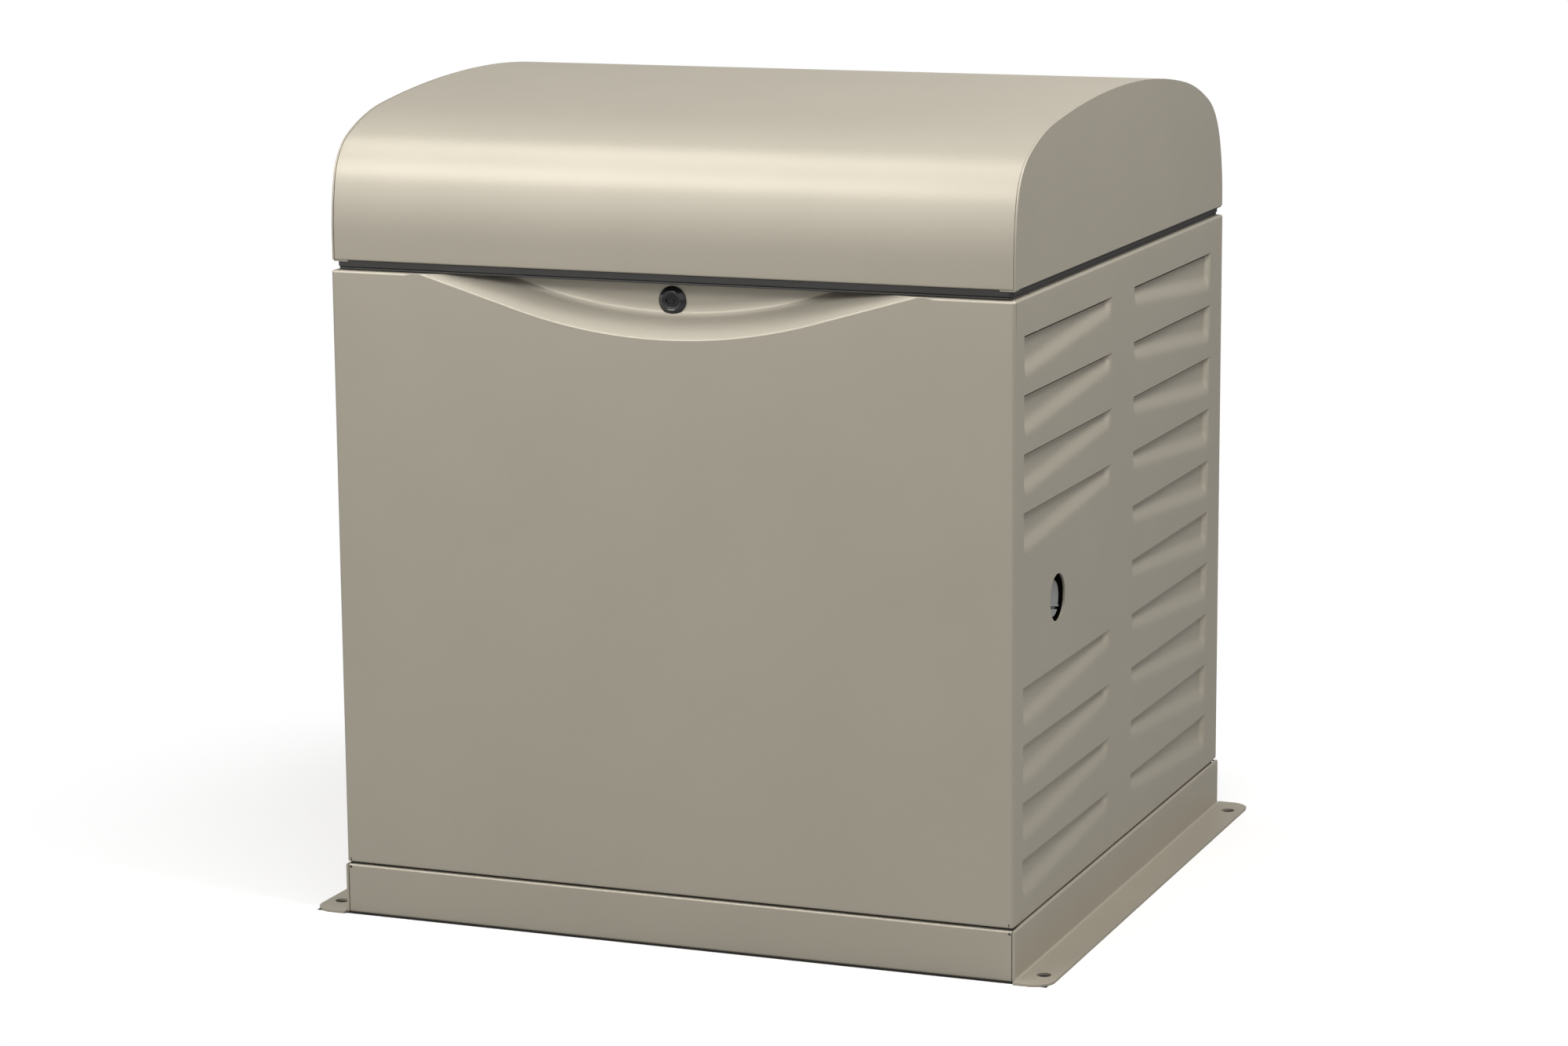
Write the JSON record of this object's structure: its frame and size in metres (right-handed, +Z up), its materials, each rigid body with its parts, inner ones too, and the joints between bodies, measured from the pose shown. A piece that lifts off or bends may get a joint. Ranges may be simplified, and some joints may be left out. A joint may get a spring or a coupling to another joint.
{
  "type": "home standby generator",
  "caption": "Home standby generator: beige sheet-metal cabinet with hinged crowned lid and louvred sides on a flanged base, gas engine and alternator inside.",
  "frame": {"origin": "on the ground at the middle of the footprint", "axes": "+Z up, the scooped front with the lock faces -Y, the side with the gas hole faces +X"},
  "size_m": [0.774, 0.713, 0.8168],
  "materials": {
    "powder_coat": "satin beige powder coat",
    "rubber_black": "matte black foam rubber",
    "lock_black": "black bezel",
    "lock_metal": "dark plated steel",
    "zinc_steel": "zinc plated steel",
    "cast_aluminium": "as cast",
    "cast_dark": "grey casting",
    "black_steel": "black enamel",
    "exhaust_steel": "heat-tinted steel",
    "plastic_black": "moulded",
    "plastic_grey": "moulded",
    "plastic_yellow": "moulded",
    "window": "tinted window",
    "winding": "laminations and lacquered winding",
    "hose_rubber": "hose",
    "cable_sheath": "sheath",
    "ceramic_white": "glazed insulator",
    "battery_case_mat": "moulded case"
  },
  "bodies": {
    "cabinet": {"air_cleaner_base": "plastic_black", "air_cleaner_cover": "plastic_black", "base_floor": "zinc_steel", "base_gasket": "rubber_black", "base_rail_left": "powder_coat", "base_rail_right": "powder_coat", "base_skirts": "powder_coat", "battery": "battery_case_mat", "battery_cables": "cable_sheath", "battery_strap": "zinc_steel", "battery_tray": "battery_case_mat", "blower_housing": "black_steel", "body_shell": "powder_coat", "breaker_body": "plastic_black", "control_box": "plastic_grey", "control_display": "window", "crankcase": "cast_aluminium", "cross_rails": "zinc_steel", "cylinder_front": "cast_aluminium", "cylinder_rear": "cast_aluminium", "enclosure_screws": "zinc_steel", "end_bell": "cast_aluminium", "engine_adapter": "cast_aluminium", "exhaust_pipes": "exhaust_steel", "gas_hose": "hose_rubber", "gas_inlet": "cast_dark", "gas_mixer": "cast_aluminium", "gas_regulator": "cast_dark", "hinge_body_leaves": "zinc_steel", "hinge_pins": "zinc_steel", "intake_manifold": "cast_aluminium", "lock_housing": "lock_black", "mount_bolts": "zinc_steel", "muffler": "exhaust_steel", "oil_filter": "black_steel", "rear_panel": "powder_coat", "spark_plugs": "ceramic_white", "starter_motor": "black_steel", "stator": "winding", "valve_covers": "black_steel", "vibration_mounts": "rubber_black"},
    "lid": {"lid_skin": "powder_coat", "lid_end_left": "powder_coat", "lid_end_right": "powder_coat", "lid_gasket": "rubber_black", "lid_striker": "zinc_steel", "hinge_lid_leaves": "zinc_steel"},
    "prop": {"lid_prop": "zinc_steel"},
    "lock": {"lock_plug": "lock_metal", "lock_cam": "lock_metal"},
    "shaft": {"crankshaft": "cast_dark", "flywheel": "cast_dark", "rotor": "winding"},
    "breaker": {"breaker_toggle": "plastic_black"},
    "switch": {"mode_switch": "plastic_black"},
    "up_button": {"button_up": "plastic_grey"},
    "down_button": {"button_down": "plastic_grey"},
    "oil_dipstick": {"dipstick": "zinc_steel"},
    "oil_cap": {"filler_cap": "plastic_black"},
    "gas_handle": {"gas_lever": "plastic_yellow"}
  },
  "joints": [
    {"name": "lid_hinge", "type": "hinge", "parent": "cabinet", "child": "lid", "pos_m": [0, 0.3525, 0.6525], "axis": [-1, 0, 0], "range_deg": [0, 70]},
    {"name": "prop_hinge", "type": "hinge", "parent": "cabinet", "child": "prop", "pos_m": [0.314, 0.14, 0.63], "axis": [-1, 0, 0], "range_deg": [0, 104.3]},
    {"name": "lock_turn", "type": "hinge", "parent": "cabinet", "child": "lock", "pos_m": [0, -0.32, 0.63], "axis": [0, 1, 0], "range_deg": [0, 90]},
    {"name": "shaft_spin", "type": "hinge", "parent": "cabinet", "child": "shaft", "pos_m": [0, 0, 0.215], "axis": [1, 0, 0], "continuous": true},
    {"name": "breaker_throw", "type": "hinge", "parent": "cabinet", "child": "breaker", "pos_m": [-0.145, -0.25, 0.583], "axis": [1, 0, 0], "range_deg": [-25, 25]},
    {"name": "mode_rock", "type": "hinge", "parent": "cabinet", "child": "switch", "pos_m": [-0.2, -0.27, 0.586], "axis": [0, 1, 0], "range_deg": [-10, 10]},
    {"name": "up_press", "type": "slide", "parent": "cabinet", "child": "up_button", "axis": [0, 0, -1], "range_m": [0, 0.002], "stiffness_N_per_m": 500},
    {"name": "down_press", "type": "slide", "parent": "cabinet", "child": "down_button", "axis": [0, 0, -1], "range_m": [0, 0.002], "stiffness_N_per_m": 500},
    {"name": "dipstick_pull", "type": "slide", "parent": "cabinet", "child": "oil_dipstick", "axis": [0, 0, 1], "range_m": [0, 0.17]},
    {"name": "oil_cap_lift", "type": "slide", "parent": "cabinet", "child": "oil_cap", "axis": [0, -0.7071, 0.7071], "range_m": [0, 0.05]},
    {"name": "gas_turn", "type": "hinge", "parent": "cabinet", "child": "gas_handle", "pos_m": [0.295, -0.241, 0.3455], "axis": [0, -1, 0], "range_deg": [0, 90]}
  ],
  "couplings": [
    {"joint": "prop_hinge", "follows": "lid_hinge", "ratio": 1.489}
  ]
}
